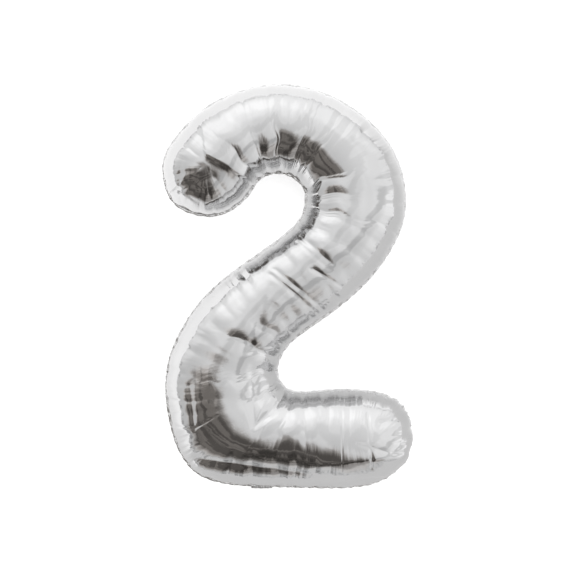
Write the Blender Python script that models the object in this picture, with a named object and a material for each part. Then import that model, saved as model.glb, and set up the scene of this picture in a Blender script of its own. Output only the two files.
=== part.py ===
"""Foil number balloon, the digit 2, lying face up on a table.

Metres. +X is the digit's right, +Y its top, +Z its front. The table is z = 0.
The envelope is two films welded along a flat seam that runs round the digit.
A two-film valve passes through the seam into a short filling neck, which hangs
from the seam under the digit's base and swings on the fold at its root.
"""

import math

import bmesh
import bpy
import numpy as np
from mathutils import Matrix

HEIGHT = 0.860  # of the filled digit, over the seam
FILM = 0.0003  # wall of every film
CLEARANCE = 0.0003  # between one film and the next
SEAM_WIDTH = 0.0065  # of the flat welded rim
TUBE_HALF_DEPTH = 0.098  # most that a face can stand off the seam plane
BULGE_POWER = 8  # how sharply the depth stops growing with the width
REST_DEPTH = 0.0905  # from the seam plane down to the table
ROWS_PER_RIB = 4
STEPS_ACROSS = 14

NECK_X = -0.055  # of its middle, on the rim of the digit's base
NECK_WIDTH = 0.044
NECK_LENGTH = 0.070
NECK_WELD = 0.004  # each of its two long welds
NECK_SHOULDER = 0.002  # over which the foil rises from a weld to the valve
NECK_ROOT = 0.0020  # from the fold's axis to the neck's first edge
NECK_HANG = math.radians(90)  # from straight out of the seam to straight down
VALVE_WIDTH = 0.034
VALVE_REACH = 0.060  # into the envelope, from the seam's inner edge
VALVE_TAIL = 0.058  # down the neck, from the fold
STACK_HALF_GAP = 0.5 * CLEARANCE + FILM + CLEARANCE  # from mid-plane to foil
STACK_TAPER = 0.020  # over which the rim closes again beside the neck
BASE_EDGE_Y = -0.40 * HEIGHT  # only the rim along the digit's base lies beyond it

# The digit as ribs across its arm, from the upper left tip to the lower right
# one: (end on the side that starts uppermost, end on the other side), as
# fractions of HEIGHT from the digit's centre. Both tips are ribs of no length.
RIBS = (
    ((-0.295, 0.222), (-0.295, 0.222)),
    ((-0.310, 0.296), (-0.248, 0.181)),
    ((-0.280, 0.365), (-0.169, 0.173)),
    ((-0.204, 0.442), (-0.100, 0.216)),
    ((-0.110, 0.486), (-0.073, 0.256)),
    ((-0.016, 0.500), (-0.036, 0.275)),
    ((0.085, 0.481), (0.006, 0.269)),
    ((0.191, 0.420), (0.036, 0.244)),
    ((0.270, 0.321), (0.042, 0.215)),
    ((0.294, 0.202), (0.028, 0.165)),
    ((0.263, 0.099), (-0.038, 0.106)),
    ((0.189, 0.000), (-0.135, 0.038)),
    ((0.085, -0.085), (-0.223, -0.044)),
    ((0.009, -0.142), (-0.288, -0.160)),
    ((-0.022, -0.202), (-0.301, -0.279)),
    ((-0.004, -0.247), (-0.270, -0.405)),
    ((0.041, -0.259), (-0.181, -0.483)),
    ((0.112, -0.253), (0.006, -0.498)),
    ((0.209, -0.257), (0.189, -0.495)),
    ((0.285, -0.291), (0.283, -0.444)),
    ((0.310, -0.368), (0.310, -0.368)),
)


def clear_scene():
    for obj in list(bpy.data.objects):
        bpy.data.objects.remove(obj, do_unlink=True)


def material(name, color, metallic, roughness):
    made = bpy.data.materials.new(name)
    made.use_nodes = True
    shader = made.node_tree.nodes["Principled BSDF"]
    shader.inputs["Base Color"].default_value = (*color, 1.0)
    shader.inputs["Metallic"].default_value = metallic
    shader.inputs["Roughness"].default_value = roughness
    made.diffuse_color = (*color, 1.0)
    return made


def closed_spline(points):
    """Slopes of the smooth closed curve through points, one step apart."""
    count = len(points)
    ring = 4 * np.eye(count) + np.roll(np.eye(count), 1, 0) + np.roll(np.eye(count), -1, 0)
    return np.linalg.solve(ring, 3 * (np.roll(points, -1, 0) - np.roll(points, 1, 0)))


def on_spline(points, slopes, at):
    """(places, unit tangents) on the closed curve at the given step numbers."""
    at = np.asarray(at, float) % len(points)
    first = np.floor(at).astype(int)
    second = (first + 1) % len(points)
    f = (at - first)[:, None]
    place = (
        (2 * f**3 - 3 * f**2 + 1) * points[first]
        + (f**3 - 2 * f**2 + f) * slopes[first]
        + (3 * f**2 - 2 * f**3) * points[second]
        + (f**3 - f**2) * slopes[second]
    )
    run = (
        6 * (f**2 - f) * (points[first] - points[second])
        + (3 * f**2 - 4 * f + 1) * slopes[first]
        + (3 * f**2 - 2 * f) * slopes[second]
    )
    return place, run / np.linalg.norm(run, axis=1)[:, None]


def outline_sides(inset):
    """The two long sides of the outline moved in by inset, row by row, with both tips."""
    left = np.array([rib[0] for rib in RIBS])
    right = np.array([rib[1] for rib in RIBS])
    loop = HEIGHT * np.vstack([left, right[-2:0:-1]])
    slopes = closed_spline(loop)
    rows = np.arange((len(RIBS) - 1) * ROWS_PER_RIB + 1) / ROWS_PER_RIB

    def side(at):
        place, tangent = on_spline(loop, slopes, at)
        inward = np.stack([tangent[:, 1], -tangent[:, 0]], 1)
        return place + inset * inward

    return side(rows), side(len(loop) - rows)


def half_depth(half_width):
    """How far a face stands off the seam plane over the middle of a rib."""
    width = np.maximum(half_width, 1e-6)
    return (width**-BULGE_POWER + TUBE_HALF_DEPTH**-BULGE_POWER) ** (-1 / BULGE_POWER)


def seam_half_gap(place):
    """From the seam plane to the foil: room for the valve's films beside the neck."""
    beyond = np.abs(place[:, 0] - NECK_X) - 0.5 * NECK_WIDTH
    open_share = np.clip(1 - beyond / STACK_TAPER, 0, 1)
    open_share = np.where(place[:, 1] < BASE_EDGE_Y, open_share, 0)
    return 0.5 * CLEARANCE + open_share * (STACK_HALF_GAP - 0.5 * CLEARANCE)


def domed_rows(sides, edge_heights, drop):
    """Rows of points of one domed surface, a row for each rib but the two tips."""
    angles = np.linspace(-0.5 * math.pi, 0.5 * math.pi, STEPS_ACROSS + 1)
    left, right = sides
    middle = 0.5 * (left + right)
    reach = 0.5 * (left - right)
    depth = half_depth(np.linalg.norm(reach, axis=1)) - drop
    rows = []
    for row in range(1, len(left) - 1):
        across = middle[row] - np.sin(angles)[:, None] * reach[row]
        edges = np.interp(angles, angles[[0, -1]], [edge[row] for edge in edge_heights])
        rows.append(np.column_stack([across, depth[row] * np.cos(angles) + edges]))
    return rows


def foil_panel(name, side, film_material):
    """One formed film: a dome with its flat rim. side is 1 for the front and -1 for the rear."""
    mesh = bmesh.new()
    rim = outline_sides(0)
    wall = outline_sides(SEAM_WIDTH)
    lining = outline_sides(SEAM_WIDTH + FILM)

    def place(points, lowest):
        """Vertices for points given by their height off the seam plane, flattened by the table."""
        points = np.array(points, float).reshape(-1, 3)
        points[:, 2] = np.maximum(points[:, 2] * side + REST_DEPTH, lowest)
        return [mesh.verts.new(point) for point in points]

    def dome(sides, extra, drop, lowest):
        """One surface of the dome; returns its edge as a loop of vertices."""
        heights = [seam_half_gap(edge) + extra for edge in sides]
        rows = [place(row, lowest) for row in domed_rows(sides, heights, drop)]
        tips = [place([*sides[0][end], heights[0][end]], lowest)[0] for end in (0, -1)]
        for one, two in zip(rows, rows[1:]):
            for k in range(STEPS_ACROSS):
                mesh.faces.new((one[k], one[k + 1], two[k + 1], two[k]))
        for tip, row in ((tips[0], rows[0]), (tips[1], rows[-1])):
            for k in range(STEPS_ACROSS):
                mesh.faces.new((tip, row[k], row[k + 1]))
        left_edge = [row[0] for row in rows]
        right_edge = [row[-1] for row in rows]
        return [tips[0], *left_edge, tips[1], *reversed(right_edge)]

    def rim_loop(extra):
        loop = np.vstack([rim[0], rim[1][-2:0:-1]])
        return place(np.column_stack([loop, seam_half_gap(loop) + extra]), 0)

    loops = [
        dome(wall, FILM, 0, 0),
        rim_loop(FILM),
        rim_loop(0),
        dome(lining, 0, FILM, FILM),
    ]
    for one, two in zip(loops, loops[1:]):
        for k in range(len(one)):
            after = (k + 1) % len(one)
            mesh.faces.new((one[k], one[after], two[after], two[k]))
    return finish(name, mesh, film_material)


def finish(name, mesh, film_material, parent=None):
    bmesh.ops.recalc_face_normals(mesh, faces=mesh.faces)
    data = bpy.data.meshes.new(name)
    mesh.to_mesh(data)
    mesh.free()
    data.materials.append(film_material)
    made = bpy.data.objects.new(name, data)
    bpy.context.collection.objects.link(made)
    made.parent = parent
    return made


def film_strip(name, profile, start, end, film_material, parent):
    """A strip of film along local -Y, from start to end, with profile as its (x, z) section."""
    mesh = bmesh.new()
    first = [mesh.verts.new((x, -start, z)) for x, z in profile]
    section = mesh.faces.new(first)
    pushed = bmesh.ops.extrude_face_region(mesh, geom=[section])
    far = [v for v in pushed["geom"] if isinstance(v, bmesh.types.BMVert)]
    bmesh.ops.translate(mesh, verts=far, vec=(0, start - end, 0))
    return finish(name, mesh, film_material, parent)


def flat_section(width, low, side):
    """A flat film's section, its inner face at height low on its side of the mid-plane."""
    half = 0.5 * width
    corners = [(-half, low), (half, low), (half, low + FILM), (-half, low + FILM)]
    return [(x, side * z) for x, z in corners]


def neck_section(side):
    """The neck's foil: down at its two long welds and raised over the valve between them."""
    edge = 0.5 * NECK_WIDTH
    weld = edge - NECK_WELD
    crown = weld - NECK_SHOULDER
    low = 0.5 * CLEARANCE
    under = [(-edge, low), (-weld, low), (-crown, STACK_HALF_GAP)]
    under += [(-x, z) for x, z in reversed(under)]
    over = [(x, z + FILM) for x, z in reversed(under)]
    return [(x, side * z) for x, z in under + over]


def rim_edge_at_neck():
    """The lowest Y that the rim reaches across the neck's width."""
    rim = outline_sides(0)[1]
    beside = (np.abs(rim[:, 0] - NECK_X) < NECK_WIDTH) & (rim[:, 1] < BASE_EDGE_Y)
    across = np.linspace(-0.5, 0.5, 9) * NECK_WIDTH + NECK_X
    order = np.argsort(rim[beside, 0])
    return np.interp(across, rim[beside, 0][order], rim[beside, 1][order]).min()


def pivot_at(name, place, turn):
    pivot = bpy.data.objects.new(name, None)
    bpy.context.collection.objects.link(pivot)
    pivot.matrix_world = Matrix.Translation(place) @ Matrix.Rotation(turn, 4, "X")
    return pivot


def build():
    clear_scene()
    silver = material("silver_foil", (0.80, 0.80, 0.81), 1.0, 0.14)
    clear_film = material("valve_film", (0.86, 0.87, 0.88), 0.0, 0.35)

    foil_panel("front_foil", 1, silver)
    foil_panel("rear_foil", -1, silver)

    fold = (NECK_X, rim_edge_at_neck() - NECK_ROOT, REST_DEPTH)
    inner = pivot_at("valve_seat", fold, 0)
    neck = pivot_at("neck_pivot", fold, NECK_HANG)
    reach = -(NECK_ROOT + SEAM_WIDTH + VALVE_REACH)
    for side, word in ((1, "front"), (-1, "rear")):
        film = flat_section(VALVE_WIDTH, 0.5 * CLEARANCE, side)
        film_strip(f"valve_film_{word}", film, -NECK_ROOT, reach, clear_film, inner)
        film_strip(f"valve_tail_{word}", film, NECK_ROOT, VALVE_TAIL, clear_film, neck)
        film_strip(f"neck_foil_{word}", neck_section(side), NECK_ROOT, NECK_LENGTH, silver, neck)


build()
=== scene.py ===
"""Looks of the foil number balloon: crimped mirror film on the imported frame.

Metres, row frame: the balloon lies face up on the table z = 0, digit's top to +Y.
"""

import math

import bmesh
import bpy
import numpy as np
from mathutils.kdtree import KDTree
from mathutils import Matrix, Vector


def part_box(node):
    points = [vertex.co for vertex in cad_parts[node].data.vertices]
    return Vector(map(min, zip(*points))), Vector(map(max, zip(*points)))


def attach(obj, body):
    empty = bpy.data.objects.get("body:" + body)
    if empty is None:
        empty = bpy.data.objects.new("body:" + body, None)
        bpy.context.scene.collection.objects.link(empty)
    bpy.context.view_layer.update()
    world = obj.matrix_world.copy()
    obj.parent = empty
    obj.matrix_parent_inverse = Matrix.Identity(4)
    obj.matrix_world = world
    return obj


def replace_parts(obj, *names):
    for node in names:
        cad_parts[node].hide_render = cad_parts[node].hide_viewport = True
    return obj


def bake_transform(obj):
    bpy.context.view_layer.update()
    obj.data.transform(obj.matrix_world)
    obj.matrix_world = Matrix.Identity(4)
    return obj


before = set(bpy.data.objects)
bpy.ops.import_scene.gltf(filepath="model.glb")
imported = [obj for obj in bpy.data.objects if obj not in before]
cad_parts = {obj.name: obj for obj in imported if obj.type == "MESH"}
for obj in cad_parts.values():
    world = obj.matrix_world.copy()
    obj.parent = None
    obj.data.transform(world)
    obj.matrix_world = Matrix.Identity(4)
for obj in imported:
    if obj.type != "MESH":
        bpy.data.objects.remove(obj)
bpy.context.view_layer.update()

FRONT_LOW, FRONT_HIGH = (np.array(corner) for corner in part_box("front_foil"))
REAR_HIGH = np.array(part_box("rear_foil")[1])
HEIGHT = FRONT_HIGH[1] - FRONT_LOW[1]
SEAM_Z = 0.5 * (FRONT_LOW[2] + REAR_HIGH[2])
TUBE_HALF_DEPTH = FRONT_HIGH[2] - SEAM_Z
SEAM_WIDTH = 0.0065
LEAST_LENGTH = 1e-12  # keeps a vector of no length from being divided by 0

# Each film panel is a grid: rows of points across the arm, from tip to tip.
ROWS = 1150
ACROSS = 85
BULGE_POWER = 8  # how abruptly wide arms flatten to the tube's half depth
CAP_RIBS = (2.2, 18.0)  # the ribs that pass through the middle of each rounded tip
CAP_SOFTNESS = 0.6
JOIN_DISTANCE = 1e-6
TABLE_GAP = 0.0002  # the film lies this far above the table
RIGHT_START = 3.0  # where the right seam's metres start on the film map
ROW_SAMPLES = 4001  # for spacing the rows evenly
SEAM_SAMPLES = 3000  # for finding the seam point nearest to a place
BEND_SAMPLES = 2001  # for measuring how sharply a seam turns
BEND_WINDOW = 41  # how many of those are averaged

# The creases, and how the film puffs up between them.
FRONT_SEED = 3
REAR_SEED = 8
BUNDLE_GAP = 0.0032  # between the close creases of one bundle
BUNDLE_EXTRA = (1, 3)  # so a bundle has one or two more creases
PITCH_SPREAD = (0.55, 1.45)  # gaps between creases, as shares of their pitch
REACH_SPREAD = (0.45, 1.3)  # lengths of creases, as shares of their reach
REACH_POWER = 4  # how abruptly a crease ends
SEAM_CALM = 0.006  # the film stays on its smooth form this near the weld
FULL_BEND = 10.0  # a seam that turns this many radians per metre is wholly hollow
WANDER = 0.0018  # how far creases stray sideways
WANDER_ALONG = 0.06
WANDER_INWARD = 0.05
PATCH_LENGTH = 0.12
PATCH_MEAN = 0.65
PATCH_SWING = 0.35
DENT_DEPTH = 0.0005
DENT_LENGTH = 0.09
DENT_RISE = 0.05  # dents fade out below this height over the seam
FOLD_ROUNDING = 0.002
FOLD_LOSS = 0.6  # share of its depth that a fold loses towards its far end
RIPPLE_WAVES = 9
RIPPLE_PACES = (0.6, 1.5)

# The flat welded edge.
RIM_SEED = 4
RIM_STEPS = 2600
RIM_SHARES = (0.0, 0.35, 0.7, 1.0)  # rings of the rim from its inner to its outer edge
RIM_THICKNESS = 0.0004
RIM_EDGE = 0.4  # the outer edge's share of that thickness
RIM_OVERLAP = 0.0006  # how far the rim runs in under the film
RIM_BITES = ((0.021, 0.0016), (0.009, 0.0006))  # how far apart, and how deep
RIM_PITCH_SPREAD = (0.6, 1.4)
RIM_DEPTH_SPREAD = (0.2, 1.0)
RIM_SPARE = 1.8  # more bites than are needed, so that they reach all the way round
RIM_LIFTS = ((0.016, 0.0006), (0.007, 0.0003))  # how long its waves are, and how high
TIP_RIBS = 1.6  # how many ribs round the right tip are puckered more
TIP_BITE = 2.2

# The filling neck.
NECK_SEED = 6
NECK_ACROSS = 25
NECK_ROUND_STEPS = 9
NECK_DOWN_STEPS = 61
NECK_BEND = 0.0015  # radius of the fold where the neck turns down
NECK_TUCK = 0.004  # how far the sleeve runs in over the weld
NECK_EDGE = 0.00015
NECK_FULLNESS = 0.75  # how full the sleeve is, as a share of the frame's neck
NECK_SWING = 0.2  # how much that changes from crinkle to crinkle
NECK_CRIMPS = 3  # crinkles over half its width
NECK_CRIMP_LENGTH = 0.02

# Film colours.
FOIL_DARK = (0.63, 0.63, 0.635, 1)
FOIL_LIGHT = (0.69, 0.69, 0.692, 1)
WELD_DARK = (0.80, 0.80, 0.80, 1)
WELD_LIGHT = (0.90, 0.90, 0.90, 1)
VALVE_DARK = (0.80, 0.82, 0.83, 1)
VALVE_LIGHT = (0.88, 0.89, 0.90, 1)
WHITE = (1, 1, 1, 1)
PAPER = (0.60, 0.60, 0.60, 1)
WARM_DARK = (1.0, 0.90, 0.82, 1)

# Round patches of the room: degrees from straight up, bearing from +X to +Y, half
# angles of each one's outer and inner edge, and its brightness.
DARK_SIDE = (48, 232, 44, 28, 0.17)
DARK_END = (60, 280, 30, 12, 0.55)
SOFT_BOX = (56, 118, 34, 16, 1.15)
# Long strips of the room, darker than the rest: where they start and end towards
# BEAM_SIDE, as sines, and how bright they are.
BEAM_SIDE = (-0.71, 0.71, 0)
BEAM_EDGE = 0.03
BEAMS = (
    (-0.62, -0.42, 0.76),
    (-0.02, 0.24, 0.90),
)
BRIGHT_SIDE = (0.45, 1.0, 0.0)

FLOOR_SIZE = 8.0
# Painted light: in what the film reflects, the floor glows brighter towards this side.
FLOOR_BRIGHT_SIDE = (-0.7, 0.7, 0)
FLOOR_GLOW_SEEN = 0.75
SUN_ENERGY = 1.2
SUN_WIDTH = 50  # degrees
SUN_TILT = (-16, 10, 0)  # degrees
CAMERA_DISTANCE = 2.6
CAMERA_X = -0.0032
SENSOR_WIDTH = 36  # millimetres
VIEW_WIDTH = 1.2146  # how wide the picture is at the seam plane

# Ribs across the arm from the upper left tip to the lower right one, as in the frame:
# each end in fractions of HEIGHT from the digit's centre.
RIBS = (
    ((-0.295, 0.222), (-0.295, 0.222)),
    ((-0.310, 0.296), (-0.248, 0.181)),
    ((-0.280, 0.365), (-0.169, 0.173)),
    ((-0.204, 0.442), (-0.100, 0.216)),
    ((-0.110, 0.486), (-0.073, 0.256)),
    ((-0.016, 0.500), (-0.036, 0.275)),
    ((0.085, 0.481), (0.006, 0.269)),
    ((0.191, 0.420), (0.036, 0.244)),
    ((0.270, 0.321), (0.042, 0.215)),
    ((0.294, 0.202), (0.028, 0.165)),
    ((0.263, 0.099), (-0.038, 0.106)),
    ((0.189, 0.000), (-0.135, 0.038)),
    ((0.085, -0.085), (-0.223, -0.044)),
    ((0.009, -0.142), (-0.288, -0.160)),
    ((-0.022, -0.202), (-0.301, -0.279)),
    ((-0.004, -0.247), (-0.270, -0.405)),
    ((0.041, -0.259), (-0.181, -0.483)),
    ((0.112, -0.253), (0.006, -0.498)),
    ((0.209, -0.257), (0.189, -0.495)),
    ((0.285, -0.291), (0.283, -0.444)),
    ((0.310, -0.368), (0.310, -0.368)),
)
LAST_RIB = len(RIBS) - 1

HOLLOW = "in hollow bends"
OUTSIDE = "outside hollow bends"
PATCHES = "in patches everywhere"

# Creases that run in from the seams: how far apart, how steep the film is beside
# them, how far they reach, the share that comes in bundles, and where they are.
CREASES = (
    (0.021, 0.54, 0.100, 0.9, HOLLOW),
    (0.042, 0.17, 0.075, 0.6, OUTSIDE),
    (0.019, 0.20, 0.045, 0.4, PATCHES),
    (0.010, 0.26, 0.028, 0.0, PATCHES),
    (0.0072, 0.12, 0.075, 0.0, PATCHES),
    (0.0062, 0.26, 0.017, 0.0, PATCHES),
)

# Folds pressed into the film, or raised where the depth is below 0: both ends in
# fractions of HEIGHT from the digit's centre, then depth and width.
FOLDS = (
    # Folds that meet at the upper left tip.
    ((-0.263, 0.230), (-0.300, 0.215), 0.004, 0.006),
    ((-0.263, 0.230), (-0.255, 0.300), 0.004, 0.006),
    ((-0.263, 0.230), (-0.190, 0.275), 0.004, 0.006),
    ((-0.263, 0.230), (-0.255, 0.180), 0.005, 0.006),
    ((-0.263, 0.230), (-0.200, 0.195), 0.003, 0.005),
    ((-0.262, 0.228), (-0.180, 0.262), 0.006, 0.012),
    ((-0.200, 0.195), (-0.150, 0.235), -0.004, 0.020),
    # Broad facets of the lower left corner.
    ((-0.226, -0.343), (-0.290, -0.340), 0.007, 0.011),
    ((-0.226, -0.343), (-0.235, -0.240), 0.007, 0.011),
    ((-0.226, -0.343), (-0.170, -0.310), 0.007, 0.011),
    ((-0.226, -0.343), (-0.215, -0.430), 0.007, 0.011),
    ((-0.078, -0.333), (-0.010, -0.270), 0.007, 0.011),
    ((-0.078, -0.333), (-0.085, -0.190), 0.007, 0.011),
    ((-0.078, -0.333), (-0.170, -0.310), 0.003, 0.006),
    ((-0.078, -0.333), (0.000, -0.400), 0.003, 0.006),
    ((-0.250, -0.425), (0.050, -0.452), 0.020, 0.050),
    # A raised ridge and a sharp line along the right half of the base.
    ((0.275, -0.400), (0.080, -0.425), -0.020, 0.040),
    ((0.235, -0.462), (0.040, -0.458), 0.005, 0.006),
    # Sharp lines across the diagonal, and two softer ones at its foot.
    ((0.031, 0.118), (0.105, 0.052), 0.0045, 0.003),
    ((0.024, 0.104), (0.100, 0.040), 0.0045, 0.003),
    ((-0.031, 0.040), (0.098, -0.066), 0.0045, 0.003),
    ((-0.040, 0.028), (0.088, -0.078), 0.0045, 0.003),
    ((0.060, 0.040), (0.154, -0.015), 0.0045, 0.003),
    ((-0.093, -0.158), (-0.040, 0.000), 0.0025, 0.006),
    ((-0.093, -0.158), (0.000, -0.130), 0.0025, 0.006),
    # Sharp lines across the base.
    ((0.098, -0.430), (0.098, -0.320), 0.0045, 0.003),
    ((0.130, -0.440), (0.130, -0.300), 0.0045, 0.003),
    ((0.200, -0.430), (0.192, -0.310), 0.0045, 0.003),
    # Folds at the lower right tip.
    ((0.245, -0.396), (0.298, -0.345), 0.006, 0.008),
    ((0.245, -0.396), (0.305, -0.400), 0.006, 0.008),
    ((0.245, -0.396), (0.165, -0.375), 0.004, 0.006),
    ((0.225, -0.330), (0.285, -0.305), 0.005, 0.008),
)


def closed_spline(points):
    """Slopes of the smooth closed curve through points, one step apart."""
    count = len(points)
    ring = 4 * np.eye(count) + np.roll(np.eye(count), 1, 0) + np.roll(np.eye(count), -1, 0)
    return np.linalg.solve(ring, 3 * (np.roll(points, -1, 0) - np.roll(points, 1, 0)))


# The outline as one loop: along the ribs' first ends, and back along their second ones.
LOOP = HEIGHT * np.vstack([[rib[0] for rib in RIBS], [rib[1] for rib in RIBS][-2:0:-1]])
SLOPES = closed_spline(LOOP)


def outline(at, inset=0.0):
    """Points of the rim's outer edge at these step numbers, moved in by inset."""
    at = np.asarray(at, float) % len(LOOP)
    first = np.floor(at).astype(int)
    second = (first + 1) % len(LOOP)
    f = (at - first)[:, None]
    place = (
        (2 * f**3 - 3 * f**2 + 1) * LOOP[first]
        + (f**3 - 2 * f**2 + f) * SLOPES[first]
        + (3 * f**2 - 2 * f**3) * LOOP[second]
        + (f**3 - f**2) * SLOPES[second]
    )
    run = (
        6 * (f**2 - f) * (LOOP[first] - LOOP[second])
        + (3 * f**2 - 4 * f + 1) * SLOPES[first]
        + (3 * f**2 - 2 * f) * SLOPES[second]
    )
    tangent = run / np.linalg.norm(run, axis=1)[:, None]
    return place + inset * np.stack([tangent[:, 1], -tangent[:, 0]], 1)


def left_seam(s):
    """Points where the weld's inner edge passes the first ends of the ribs."""
    return outline(s, SEAM_WIDTH)


def right_seam(s):
    """Points where the weld's inner edge passes the second ends of the ribs."""
    return outline(len(LOOP) - np.asarray(s), SEAM_WIDTH)


def running(points):
    """Metres along a line of points, from 0 at the first."""
    steps = np.linalg.norm(np.diff(points, axis=0), axis=1)
    return np.concatenate([[0], np.cumsum(steps)])


def even_rows(count):
    """Rib numbers spaced so that the mean step along the two seams is even."""
    s = np.linspace(0, LAST_RIB, ROW_SAMPLES)
    run = 0.5 * (running(left_seam(s)) + running(right_seam(s)))
    return np.interp(np.linspace(0, run[-1], count), run, s)


def spine_rib(s):
    """The rib whose middle a row runs to: rows fan out from one place at each tip."""
    start, end = CAP_RIBS
    s = 0.5 * (s + start + np.sqrt((s - start) ** 2 + CAP_SOFTNESS**2))
    return 0.5 * (s + end - np.sqrt((s - end) ** 2 + CAP_SOFTNESS**2))


def smooth_panel():
    """The unwrinkled front panel as a grid of points about the seam plane."""
    s = even_rows(ROWS)
    spine = spine_rib(s)
    left, right = left_seam(spine), right_seam(spine)
    middle = 0.5 * (left + right)
    half_width = 0.5 * np.linalg.norm(left - right, axis=1)
    depth = (half_width**-BULGE_POWER + TUBE_HALF_DEPTH**-BULGE_POWER) ** (-1 / BULGE_POWER)
    angle = np.linspace(0, math.pi, ACROSS)
    lean = np.cos(angle)[None, :, None]
    side = np.where(lean > 0, left_seam(s)[:, None], right_seam(s)[:, None])
    plan = middle[:, None] + np.abs(lean) * (side - middle[:, None])
    return np.dstack([plan, depth[:, None] * np.sin(angle)[None]])


def outward(points):
    """Unit normals of the grid, pointing out of the balloon."""
    along = np.gradient(points, axis=0)
    across = np.gradient(points, axis=1)
    normal = np.cross(across, along)
    return normal / np.maximum(np.linalg.norm(normal, axis=2)[..., None], LEAST_LENGTH)


def weld_distances(smooth):
    """Each point's straight distance from the left and from the right end of its row."""
    return [np.linalg.norm(smooth - smooth[:, edge, None], axis=2) for edge in (0, -1)]


def bend_of(side, s):
    """How sharply a side's seam turns left at these ribs, in radians per metre."""
    fine = np.linspace(0, LAST_RIB, BEND_SAMPLES)
    step = np.diff(side(fine), axis=0)
    heading = np.unwrap(np.arctan2(step[:, 1], step[:, 0]))
    turn = np.gradient(heading) / np.linalg.norm(step, axis=1)
    padded = np.pad(turn, BEND_WINDOW // 2, mode="edge")
    even = np.convolve(padded, np.ones(BEND_WINDOW) / BEND_WINDOW, mode="valid")
    return np.interp(s, 0.5 * (fine[1:] + fine[:-1]), even)


def ripple(rng, u, v):
    """A smooth random field over u and v, which are in wavelengths; about -1 to 1."""
    total = np.zeros(np.broadcast(u, v).shape)
    for turn in rng.uniform(0, math.pi, RIPPLE_WAVES):
        pace = 2 * math.pi * rng.uniform(*RIPPLE_PACES)
        phase = rng.uniform(0, 2 * math.pi)
        total += np.sin(pace * (u * math.cos(turn) + v * math.sin(turn)) + phase)
    return total / math.sqrt(RIPPLE_WAVES)


def puffs(rng, run, inward, pitch, slope, reach, bundle):
    """Height of film puffed up between creases that run in from a seam.

    run is metres along the seam and inward metres in from it. Creases lie about pitch
    apart, some in bundles of close ones, and end after about reach.
    """
    gaps = []
    while sum(gaps) < run.max() + 2 * pitch:
        gaps.append(pitch * rng.uniform(*PITCH_SPREAD))
        if rng.uniform() < bundle:
            gaps += [BUNDLE_GAP] * rng.integers(*BUNDLE_EXTRA)
    crease = np.concatenate([[-pitch], np.cumsum(gaps) - pitch])
    ends = reach * rng.uniform(*REACH_SPREAD, len(crease))
    k = np.clip(np.searchsorted(crease, run) - 1, 0, len(crease) - 2)
    gap = crease[k + 1] - crease[k]
    t = np.clip((run - crease[k]) / gap, 0, 1)
    end = ends[k] * (1 - t) + ends[k + 1] * t
    return slope * gap * t * (1 - t) / (1 + (inward / end) ** REACH_POWER)


def seam_map(side, plan):
    """For each place in plan, the nearest seam point: metres along, metres off, bend."""
    s = even_rows(SEAM_SAMPLES)
    seam = side(s)
    tangent = np.gradient(seam, axis=0)
    tangent /= np.linalg.norm(tangent, axis=1)[:, None]
    tree = KDTree(SEAM_SAMPLES)
    for k, (x, y) in enumerate(seam):
        tree.insert((x, y, 0), k)
    tree.balance()
    flat = plan.reshape(-1, 2)
    nearest = np.array([tree.find((x, y, 0))[1] for x, y in flat.tolist()])
    apart = flat - seam[nearest]
    along = running(seam)[nearest] + np.einsum("ij,ij->i", apart, tangent[nearest])
    off = np.linalg.norm(apart, axis=1)
    bend = bend_of(side, s)[nearest]
    return tuple(values.reshape(plan.shape[:2]) for values in (along, off, bend))


def crimps(rng, side, hollow_turn, plan, film):
    """Height of the film between all the creases that run in from one seam.

    hollow_turn is 1 for the side that is hollow where it turns left and -1 for the
    other one, and film is each point's distance from the end of its row at that seam.
    """
    run, inward, bend = seam_map(side, plan)
    run = run + WANDER * ripple(rng, run / WANDER_ALONG, inward / WANDER_INWARD)
    hollow = np.clip(hollow_turn * bend / FULL_BEND, 0, 1)
    patch = PATCH_MEAN + PATCH_SWING * ripple(rng, run / PATCH_LENGTH, 0 * run)
    shares = {HOLLOW: hollow, OUTSIDE: 1 - hollow, PATCHES: patch}
    # Inside a rounded end the creases draw together, and the film between them is lower.
    squeeze = np.clip(1 + hollow_turn * bend * inward, 0, 1) ** 2
    calm = 1 - np.exp(-((film / SEAM_CALM) ** 2))
    height = np.zeros(run.shape)
    for pitch, slope, reach, bundle, place in CREASES:
        share = squeeze * shares[place] * calm
        height += share * puffs(rng, run, inward, pitch, slope, reach, bundle)
    return height


def fold(plan, start, end, depth, width):
    """Height of a fold pressed into the film between two places in plan."""
    start, end = HEIGHT * np.array(start), HEIGHT * np.array(end)
    line = end - start
    length = np.linalg.norm(line)
    along = np.clip((plan - start) @ line / length**2, 0, 1)
    off = np.linalg.norm(plan - start - along[..., None] * line, axis=2)
    off = np.sqrt(off**2 + FOLD_ROUNDING**2)
    return -depth * (1 - FOLD_LOSS * along) * np.exp(-off / width)


def folds(plan, film):
    """Height of all the folds together: where they cross, only the deepest counts."""
    pressed = np.zeros(film.shape)
    raised = np.zeros(film.shape)
    for start, end, depth, width in FOLDS:
        free = 1 - np.exp(-((film / max(width, SEAM_CALM)) ** 2))
        stand = free * fold(plan, start, end, depth, width)
        pressed = np.minimum(pressed, stand)
        raised = np.maximum(raised, stand)
    return pressed + raised


def wrinkles(seed, smooth):
    """How far each point of a panel stands off its smooth form, in metres."""
    rng = np.random.default_rng(seed)
    plan = smooth[..., :2]
    left, right = weld_distances(smooth)
    height = crimps(rng, left_seam, 1, plan, left)
    height += crimps(rng, right_seam, -1, plan, right)
    dents = ripple(rng, plan[..., 0] / DENT_LENGTH, plan[..., 1] / DENT_LENGTH)
    height += DENT_DEPTH * dents * np.clip(smooth[..., 2] / DENT_RISE, 0, 1)
    return height + folds(plan, np.minimum(left, right))


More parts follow.
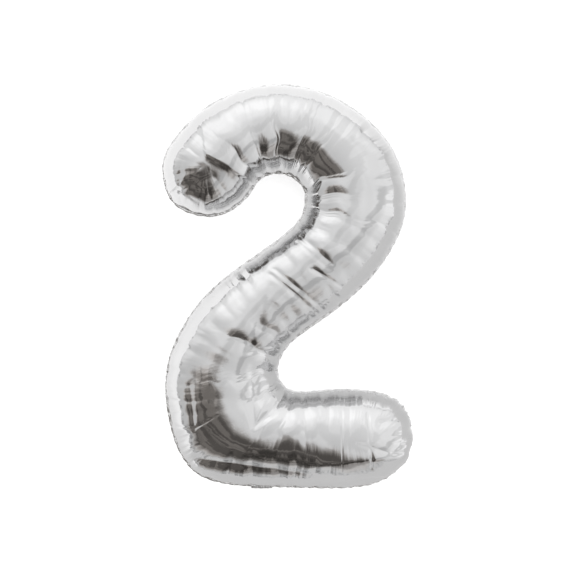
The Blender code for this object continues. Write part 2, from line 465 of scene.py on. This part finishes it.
def mesh_object(name, points, faces, body, material, film):
    """A smooth-shaded piece that rides on a body, or on none yet where body is None.

    film gives each point its place on the film map.
    """
    mesh = bpy.data.meshes.new(name)
    mesh.from_pydata(points.tolist(), [], faces.tolist())
    mesh.polygons.foreach_set("use_smooth", np.ones(len(mesh.polygons), bool))
    corner = np.empty(len(mesh.loops), np.int32)
    mesh.loops.foreach_get("vertex_index", corner)
    layer = mesh.uv_layers.new(name="film")
    layer.data.foreach_set("uv", film[corner].astype(np.float32).ravel())
    mesh.materials.append(material)
    piece = bpy.data.objects.new(name, mesh)
    bpy.context.collection.objects.link(piece)
    if body:
        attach(piece, body)
    return piece


def grid_faces(rows, across):
    """Quads of a grid of points in row order."""
    index = np.arange(rows * across).reshape(rows, across)
    corners = (index[:-1, :-1], index[:-1, 1:], index[1:, 1:], index[1:, :-1])
    return np.stack(corners, -1).reshape(-1, 4)


def tube_faces(rings, around, closed):
    """Quads between rings of points, and from the last to the first where closed."""
    index = np.arange(rings * around).reshape(rings, around)
    first = index if closed else index[:-1]
    second = np.roll(index, -1, 0) if closed else index[1:]
    corners = (first, np.roll(first, -1, 1), np.roll(second, -1, 1), second)
    return np.stack(corners, -1).reshape(-1, 4)


def film_map(smooth):
    """Metres along the arm and in from the nearer seam, for each point of a panel."""
    runs = [running(smooth[:, edge, :2]) for edge in (0, -1)]
    left, right = weld_distances(smooth)
    run = np.where(left < right, runs[0][:, None], RIGHT_START + runs[1][:, None])
    return np.dstack([run, np.minimum(left, right)])


def panel(name, seed, front, material):
    """One side of the balloon: a crimped film panel that ends at the weld."""
    smooth = smooth_panel()
    heights = wrinkles(seed, smooth)
    points = smooth + outward(smooth) * heights[..., None]
    points[[0, -1]] = 0.5 * (points[[0, -1]] + points[[0, -1], ::-1])
    faces = grid_faces(ROWS, ACROSS)
    if not front:
        points[..., 2] *= -1
        points[..., 2] = np.maximum(points[..., 2], TABLE_GAP - SEAM_Z)
        faces = faces[:, ::-1]
    points[..., 2] += SEAM_Z
    film = film_map(smooth).reshape(-1, 2)
    piece = mesh_object(name, points.reshape(-1, 3), faces, "envelope", material, film)
    join_tips(piece)
    return piece


def join_tips(piece):
    """Joins the two halves of a panel's end rows, which lie on each other at the tips."""
    shape = bmesh.new()
    shape.from_mesh(piece.data)
    shape.verts.ensure_lookup_table()
    ends = [*range(ACROSS), *range((ROWS - 1) * ACROSS, ROWS * ACROSS)]
    doubled = [shape.verts[k] for k in ends]
    bmesh.ops.remove_doubles(shape, verts=doubled, dist=JOIN_DISTANCE)
    shape.to_mesh(piece.data)
    shape.free()


def rim_bite(rng, run, near_tip):
    """How far the rim's outer edge is drawn in along its length."""
    bite = np.zeros(RIM_STEPS)
    for pitch, depth in RIM_BITES:
        count = int(RIM_SPARE * run[-1] / pitch)
        cuts = np.cumsum(pitch * rng.uniform(*RIM_PITCH_SPREAD, count))
        size = depth * rng.uniform(*RIM_DEPTH_SPREAD, count)
        k = np.clip(np.searchsorted(cuts, run), 1, len(cuts) - 1)
        t = (run - cuts[k - 1]) / (cuts[k] - cuts[k - 1])
        bite += size[k] * (1 + TIP_BITE * near_tip) * np.cos(math.pi * t) ** 2
    return bite


def weld_rim(material):
    """The flat welded edge round the balloon, puckered along its outer side."""
    rng = np.random.default_rng(RIM_SEED)
    at = np.linspace(0, len(LOOP), RIM_STEPS, endpoint=False)
    run = running(outline(at))
    near_tip = np.exp(-(((at - LAST_RIB) / TIP_RIBS) ** 2))
    bite = rim_bite(rng, run, near_tip)
    lift = sum(high * ripple(rng, run / long, 0 * run) for long, high in RIM_LIFTS)
    sheet = np.zeros((RIM_STEPS, len(RIM_SHARES), 3))
    inner = SEAM_WIDTH + RIM_OVERLAP
    for ring, share in enumerate(RIM_SHARES):
        inset = inner - share * (inner - bite)
        sheet[:, ring, :2] = outline(at, inset[:, None])
        sheet[:, ring, 2] = SEAM_Z + lift * share**1.5 * (1 + near_tip)
    half = np.full((len(RIM_SHARES), 1), 0.5 * RIM_THICKNESS)
    half[-1] *= RIM_EDGE
    up = half * np.array([0, 0, 1])
    tube = np.concatenate([sheet + up, (sheet - up)[:, ::-1]], axis=1)
    inward = -SEAM_WIDTH * np.concatenate([RIM_SHARES, RIM_SHARES[::-1]])
    film = np.dstack([run[:, None] + 0 * inward, 0 * run[:, None] + inward])
    faces = tube_faces(RIM_STEPS, tube.shape[1], True)
    points = tube.reshape(-1, 3)
    piece = mesh_object("weld_rim", points, faces, "envelope", material, film.reshape(-1, 2))


def neck_path(plane, bottom):
    """Middle line of the neck in y and z: in over the weld, round its fold and down."""
    turn = np.linspace(0, 0.5 * math.pi, NECK_ROUND_STEPS)[:, None]
    down = np.linspace(0, 1, NECK_DOWN_STEPS)[1:, None]
    fold_y, fold_z = plane + NECK_BEND, SEAM_Z - NECK_BEND
    return np.vstack([
        [[fold_y + NECK_TUCK, SEAM_Z]],
        np.hstack([fold_y - NECK_BEND * np.sin(turn), fold_z + NECK_BEND * np.cos(turn)]),
        np.hstack([0 * down + plane, fold_z + (bottom - fold_z) * down]),
    ])


def neck_sleeve(material):
    """The flat filling neck: a sleeve of two films from the weld over the edge and down."""
    low, high = (np.array(corner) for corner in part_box("neck_foil_front"))
    rear_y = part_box("neck_foil_rear")[1][1]
    middle = 0.5 * (low[0] + high[0])
    half_width = 0.5 * (high[0] - low[0])
    plane = 0.5 * (low[1] + rear_y)
    half_gap = 0.5 * (rear_y - low[1])
    rng = np.random.default_rng(NECK_SEED)
    path = neck_path(plane, low[2])
    tangent = np.gradient(path, axis=0)
    tangent /= np.linalg.norm(tangent, axis=1)[:, None]
    normal = np.stack([tangent[:, 1], -tangent[:, 0]], 1)
    across = np.linspace(-1, 1, NECK_ACROSS)
    taper = np.sqrt(1 - np.abs(across))[None]
    length = running(path)[:, None]
    sides = []
    for sign in (1, -1):
        crimp = ripple(rng, NECK_CRIMPS * across[None] + 0 * length, length / NECK_CRIMP_LENGTH)
        share = taper * (NECK_FULLNESS + NECK_SWING * crimp)
        stand = sign * half_gap * share + sign * NECK_EDGE
        x = middle + half_width * across[None] + 0 * length
        y = path[:, :1] + stand * normal[:, :1]
        z = path[:, 1:] + stand * normal[:, 1:]
        sides.append(np.dstack([x, y, z])[:, ::sign])
    tube = np.concatenate(sides, axis=1)
    faces = tube_faces(len(path), tube.shape[1], False)
    spread = half_width * np.concatenate([across, across[::-1]])
    film = np.dstack([spread + 0 * length, length + 0 * spread]).reshape(-1, 2)
    piece = mesh_object("neck_sleeve", tube.reshape(-1, 3), faces, None, material, film)
    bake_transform(piece)
    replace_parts(piece, "neck_foil_front", "neck_foil_rear")


class Shader:
    """A few short calls for building one node tree."""

    def __init__(self, tree):
        self.tree = tree

    def node(self, kind, **settings):
        made = self.tree.nodes.new("ShaderNode" + kind)
        for name, value in settings.items():
            setattr(made, name, value)
        return made

    def plug(self, socket, value):
        """Links a value that is another node's socket, or else sets it."""
        if isinstance(value, bpy.types.NodeSocket):
            self.tree.links.new(value, socket)
        else:
            socket.default_value = value

    def feed(self, node, **values):
        """Sets or links a node's sockets, named with underscores for spaces."""
        for name, value in values.items():
            self.plug(node.inputs[name.replace("_", " ")], value)

    def math(self, operation, first, second=0.0):
        made = self.node("Math", operation=operation)
        self.plug(made.inputs[0], first)
        self.plug(made.inputs[1], second)
        return made.outputs[0]

    def times(self, first, *others):
        for value in others:
            first = self.math("MULTIPLY", first, value)
        return first

    def dot(self, vector, direction):
        made = self.node("VectorMath", operation="DOT_PRODUCT")
        self.plug(made.inputs[0], vector)
        self.plug(made.inputs[1], direction)
        return made.outputs["Value"]

    def choose(self, which, if_no, if_yes):
        """if_no where which is 0, and if_yes where it is 1."""
        made = self.node("Mix", data_type="FLOAT")
        self.plug(made.inputs[0], which)
        self.plug(made.inputs[2], if_no)
        self.plug(made.inputs[3], if_yes)
        return made.outputs["Result"]

    def tint(self, share, first, second):
        """A colour from first to second as share goes from 0 to 1."""
        made = self.node("MixRGB")
        self.feed(made, Fac=share, Color1=first, Color2=second)
        return made.outputs["Color"]

    def ramp(self, value, low, high, at_low, at_high):
        """at_low up to low, at_high from high on, and a smooth step between them."""
        made = self.node("MapRange", interpolation_type="SMOOTHSTEP")
        self.feed(made, Value=value, From_Min=low, From_Max=high, To_Min=at_low, To_Max=at_high)
        return made.outputs["Result"]

    def noise(self, vector, scale, detail=2.0, roughness=0.5):
        made = self.node("TexNoise")
        self.feed(made, Vector=vector, Scale=scale, Detail=detail, Roughness=roughness)
        return made.outputs["Fac"]

    def stretched(self, vector, scale):
        made = self.node("Mapping")
        self.feed(made, Vector=vector, Scale=scale)
        return made.outputs["Vector"]

    def bump(self, height, distance, normal=None):
        made = self.node("Bump")
        self.feed(made, Height=height, Distance=distance, Strength=1.0)
        if normal is not None:
            self.feed(made, Normal=normal)
        return made.outputs["Normal"]


def new_material(name):
    """A material with its short calls, its shader and the place on the object."""
    material = bpy.data.materials.new(name)
    material.use_nodes = True
    shader = Shader(material.node_tree)
    place = shader.node("TexCoord").outputs["Object"]
    return material, shader, material.node_tree.nodes["Principled BSDF"], place


def foil_material():
    """Aluminised film: a near mirror, with fine pleats by the weld and faint handling."""
    material, shader, surface, place = new_material("silver_foil")
    film = shader.node("UVMap", uv_map="film").outputs["UV"]
    inward = shader.node("SeparateXYZ")
    shader.feed(inward, Vector=film)
    by_seam = shader.ramp(inward.outputs["Y"], 0.004, 0.080, 1.0, 0.0)
    patches = shader.ramp(shader.noise(place, 9.0), 0.40, 0.62, 0.25, 1.0)
    pleats = shader.noise(shader.stretched(film, (320.0, 16.0, 1.0)), 1.0, 1.0)
    pleats = shader.math("ABSOLUTE", shader.math("SUBTRACT", pleats, 0.5))
    pleats = shader.times(pleats, by_seam, patches)
    crinkle = shader.noise(place, 55.0, 3.0, 0.55)
    normal = shader.bump(crinkle, 0.00016)
    normal = shader.bump(pleats, 0.0034, normal)
    colour = shader.tint(shader.noise(place, 14.0), FOIL_DARK, FOIL_LIGHT)
    roughness = shader.ramp(shader.noise(place, 22.0, 4.0), 0.35, 0.70, 0.05, 0.11)
    shader.feed(surface, Base_Color=colour, Roughness=roughness, Metallic=1.0, Normal=normal)
    return material


def weld_material():
    """The heat-sealed edge: the same film, duller and pressed with fine ribs."""
    material, shader, surface, place = new_material("welded_foil")
    film = shader.node("UVMap", uv_map="film").outputs["UV"]
    ribs = shader.noise(shader.stretched(film, (420.0, 60.0, 1.0)), 1.0, 1.0)
    normal = shader.bump(shader.noise(place, 90.0, 3.0), 0.0004)
    normal = shader.bump(ribs, 0.0005, normal)
    colour = shader.tint(shader.noise(place, 60.0), WELD_DARK, WELD_LIGHT)
    roughness = shader.ramp(shader.noise(place, 40.0, 3.0), 0.35, 0.70, 0.22, 0.36)
    shader.feed(surface, Base_Color=colour, Roughness=roughness, Metallic=1.0, Normal=normal)
    return material


def valve_material():
    """Clear plastic film of the filling valve, faintly hazy and creased."""
    material, shader, surface, place = new_material("valve_film")
    creases = shader.noise(shader.stretched(place, (90.0, 90.0, 25.0)), 1.0, 3.0)
    colour = shader.tint(creases, VALVE_DARK, VALVE_LIGHT)
    roughness = shader.ramp(shader.noise(place, 60.0, 3.0), 0.3, 0.7, 0.16, 0.30)
    normal = shader.bump(creases, 0.0003)
    shader.feed(surface, Base_Color=colour, Roughness=roughness, Normal=normal)
    shader.feed(surface, Transmission_Weight=0.6, IOR=1.5)
    return material


def floor_material():
    """Matt white paper with painted light: it glows a little, and more to the camera than to
    the film.
    """
    material, shader, surface, place = new_material("paper_floor")
    roughness = shader.ramp(shader.noise(place, 400.0, 2.0), 0.3, 0.7, 0.86, 0.94)
    shader.feed(surface, Base_Color=PAPER, Roughness=roughness)
    # Painted light on the floor: a glow that the film reflects, brighter towards
    # FLOOR_BRIGHT_SIDE, and even to the camera.
    painted_floor_glow = shader.ramp(shader.dot(place, FLOOR_BRIGHT_SIDE), -0.30, 0.35, 0.12, 0.58)
    seen = shader.node("LightPath").outputs["Is Camera Ray"]
    strength = shader.choose(seen, painted_floor_glow, FLOOR_GLOW_SEEN)
    shader.feed(surface, Emission_Color=WHITE, Emission_Strength=strength)
    return material


def unit(from_top, bearing):
    """The direction that many degrees from straight up, on a bearing from +X to +Y."""
    tilt, turn = math.radians(from_top), math.radians(bearing)
    return (math.sin(tilt) * math.cos(turn), math.sin(tilt) * math.sin(turn), math.cos(tilt))


def spot(shader, ray, from_top, bearing, outer, inner, strength):
    """A round patch of the room: 1 outside it, and strength inside."""
    facing = shader.dot(ray, unit(from_top, bearing))
    edges = math.cos(math.radians(outer)), math.cos(math.radians(inner))
    return shader.ramp(facing, *edges, 1.0, strength)


def shelving(shader, ray, dark_side):
    """Level bands of uneven brightness inside the dark side, and 1 outside it."""
    bands = shader.noise(shader.stretched(ray, (2.0, 2.0, 9.0)), 1.0, 2.0)
    bands = shader.ramp(bands, 0.47, 0.55, 0.80, 1.8)
    bands = shader.times(bands, shader.math("SUBTRACT", 1.0, dark_side))
    return shader.math("ADD", bands, dark_side)


def beam(shader, aside, low, high, tone):
    """A long strip of the room: tone inside it, and 1 outside."""
    starts = shader.ramp(aside, low - BEAM_EDGE, low + BEAM_EDGE, 0.0, 1.0)
    ends = shader.ramp(aside, high - BEAM_EDGE, high + BEAM_EDGE, 1.0, 0.0)
    return shader.choose(shader.times(starts, ends), 1.0, tone)


def skirting(shader, ray):
    """Broken dim patches all round the room at floor level."""
    patches = shader.ramp(shader.noise(ray, 9.0, 1.0), 0.34, 0.46, 0.60, 1.0)
    above = shader.ramp(shader.dot(ray, (0, 0, 1)), 0.02, 0.10, 0.0, 1.0)
    return shader.math("MAXIMUM", patches, above)


def studio_world():
    """A white room, brighter on the +Y side, with one dark side and one soft box.

    The film reflects it, and the camera sees plain white instead.
    """
    world = bpy.data.worlds.new("studio")
    bpy.context.scene.world = world
    world.use_nodes = True
    world.node_tree.nodes.clear()
    shader = Shader(world.node_tree)
    ray = shader.node("TexCoord").outputs["Generated"]
    light = shader.ramp(shader.dot(ray, BRIGHT_SIDE), -0.6, 0.7, 0.78, 1.19)
    dark_side = shader.times(spot(shader, ray, *DARK_SIDE), spot(shader, ray, *DARK_END))
    light = shader.times(light, dark_side, spot(shader, ray, *SOFT_BOX))
    light = shader.times(light, shelving(shader, ray, dark_side))
    aside = shader.dot(ray, BEAM_SIDE)
    light = shader.times(light, *(beam(shader, aside, *strip) for strip in BEAMS))
    clouds = shader.ramp(shader.noise(ray, 1.7, 1.0), 0.36, 0.64, 0.90, 1.06)
    light = shader.times(light, clouds, skirting(shader, ray))
    seen = shader.node("LightPath").outputs["Is Camera Ray"]
    strength = shader.choose(seen, light, 1.0)
    backdrop = shader.node("Background")
    shader.feed(backdrop, Color=shader.tint(dark_side, WARM_DARK, WHITE), Strength=strength)
    output = shader.node("OutputWorld")
    shader.plug(output.inputs["Surface"], backdrop.outputs[0])


def studio_floor():
    """A wide plain floor at table height."""
    floor_mesh = bpy.data.meshes.new("floor")
    half = 0.5 * FLOOR_SIZE
    corners = [(-half, -half, 0), (half, -half, 0), (half, half, 0), (-half, half, 0)]
    floor_mesh.from_pydata(corners, [], [(0, 1, 2, 3)])
    floor_mesh.materials.append(floor_material())
    floor = bpy.data.objects.new("floor", floor_mesh)
    bpy.context.collection.objects.link(floor)


def studio_sun():
    """A broad soft sun that lights the floor and isn't reflected in the film."""
    lamp = bpy.data.lights.new("sun", "SUN")
    lamp.energy = SUN_ENERGY
    lamp.angle = math.radians(SUN_WIDTH)
    sun = bpy.data.objects.new("sun", lamp)
    sun.rotation_euler = [math.radians(turn) for turn in SUN_TILT]
    sun.visible_glossy = False
    bpy.context.collection.objects.link(sun)


def studio_camera():
    """The camera, straight above the balloon and looking down."""
    camera_data = bpy.data.cameras.new("camera")
    camera_data.sensor_width = SENSOR_WIDTH
    camera_data.lens = SENSOR_WIDTH * CAMERA_DISTANCE / VIEW_WIDTH
    camera = bpy.data.objects.new("camera", camera_data)
    camera.location = (CAMERA_X, 0, SEAM_Z + CAMERA_DISTANCE)
    bpy.context.collection.objects.link(camera)
    bpy.context.scene.camera = camera
    bpy.context.scene.view_settings.view_transform = "Standard"


foil = foil_material()
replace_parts(panel("front_panel", FRONT_SEED, True, foil), "front_foil")
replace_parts(panel("rear_panel", REAR_SEED, False, foil), "rear_foil")
welded = weld_material()
weld_rim(welded)
neck_sleeve(foil)

clear_film = valve_material()
for node in ("valve_film_front", "valve_film_rear", "valve_tail_front", "valve_tail_rear"):
    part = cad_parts[node]
    part.data.materials.clear()
    part.data.materials.append(clear_film)

studio_floor()
studio_sun()
studio_camera()
studio_world()
